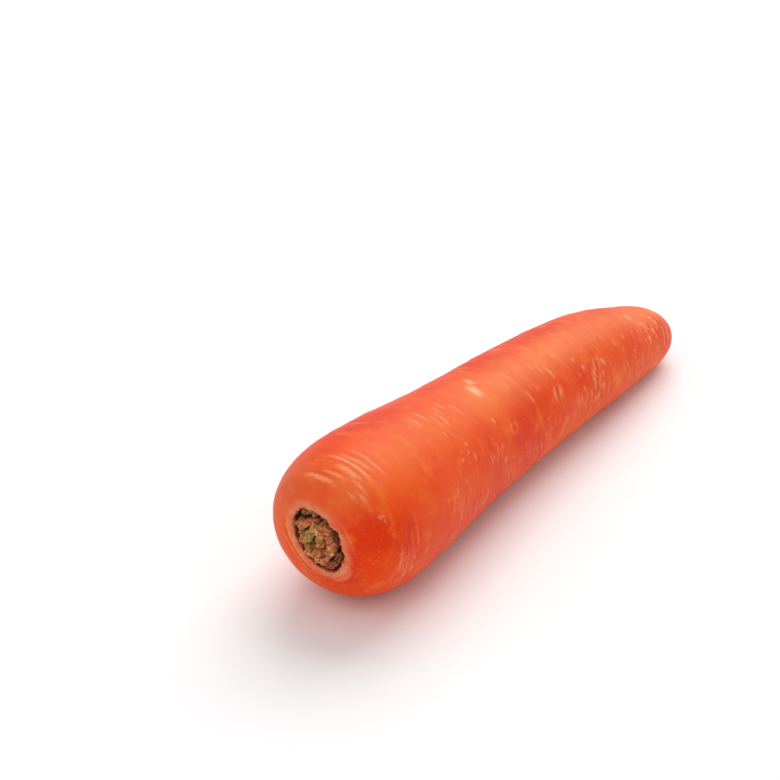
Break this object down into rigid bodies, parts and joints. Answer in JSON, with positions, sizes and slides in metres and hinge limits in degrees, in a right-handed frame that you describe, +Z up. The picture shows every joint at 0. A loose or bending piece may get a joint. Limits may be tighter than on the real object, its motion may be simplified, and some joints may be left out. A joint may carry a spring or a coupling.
{
  "type": "carrot",
  "caption": "Stout tapering carrot root lying on its side, with a shallow pit of dry broken leaf-stalk stubs at its crown and a blunt rounded tip.",
  "frame": {"origin": "middle of the underside of the whole carrot's box, on the surface that it rests on", "axes": "+X from the crown to the tip along the root, +Z up from the resting surface, +Y to the side that the root bows towards"},
  "size_m": [0.1806, 0.0442, 0.0446],
  "materials": {
    "carrot_skin": "satin",
    "dry_tan_stalk": "matte",
    "dry_brown_stalk": "matte",
    "olive_bud": "matte"
  },
  "bodies": {
    "root": {"carrot_root": "carrot_skin", "leaf_stalk_stub_01": "dry_tan_stalk", "leaf_stalk_stub_02": "dry_brown_stalk", "leaf_stalk_stub_03": "dry_tan_stalk", "leaf_stalk_stub_04": "dry_brown_stalk", "leaf_stalk_stub_05": "dry_tan_stalk", "leaf_stalk_stub_06": "dry_brown_stalk", "leaf_stalk_stub_07": "dry_tan_stalk", "leaf_stalk_stub_08": "dry_brown_stalk", "leaf_stalk_stub_09": "dry_tan_stalk", "leaf_stalk_stub_10": "dry_brown_stalk", "leaf_stalk_stub_11": "dry_tan_stalk", "leaf_stalk_stub_12": "dry_brown_stalk", "heart_bud": "olive_bud"}
  },
  "joints": []
}
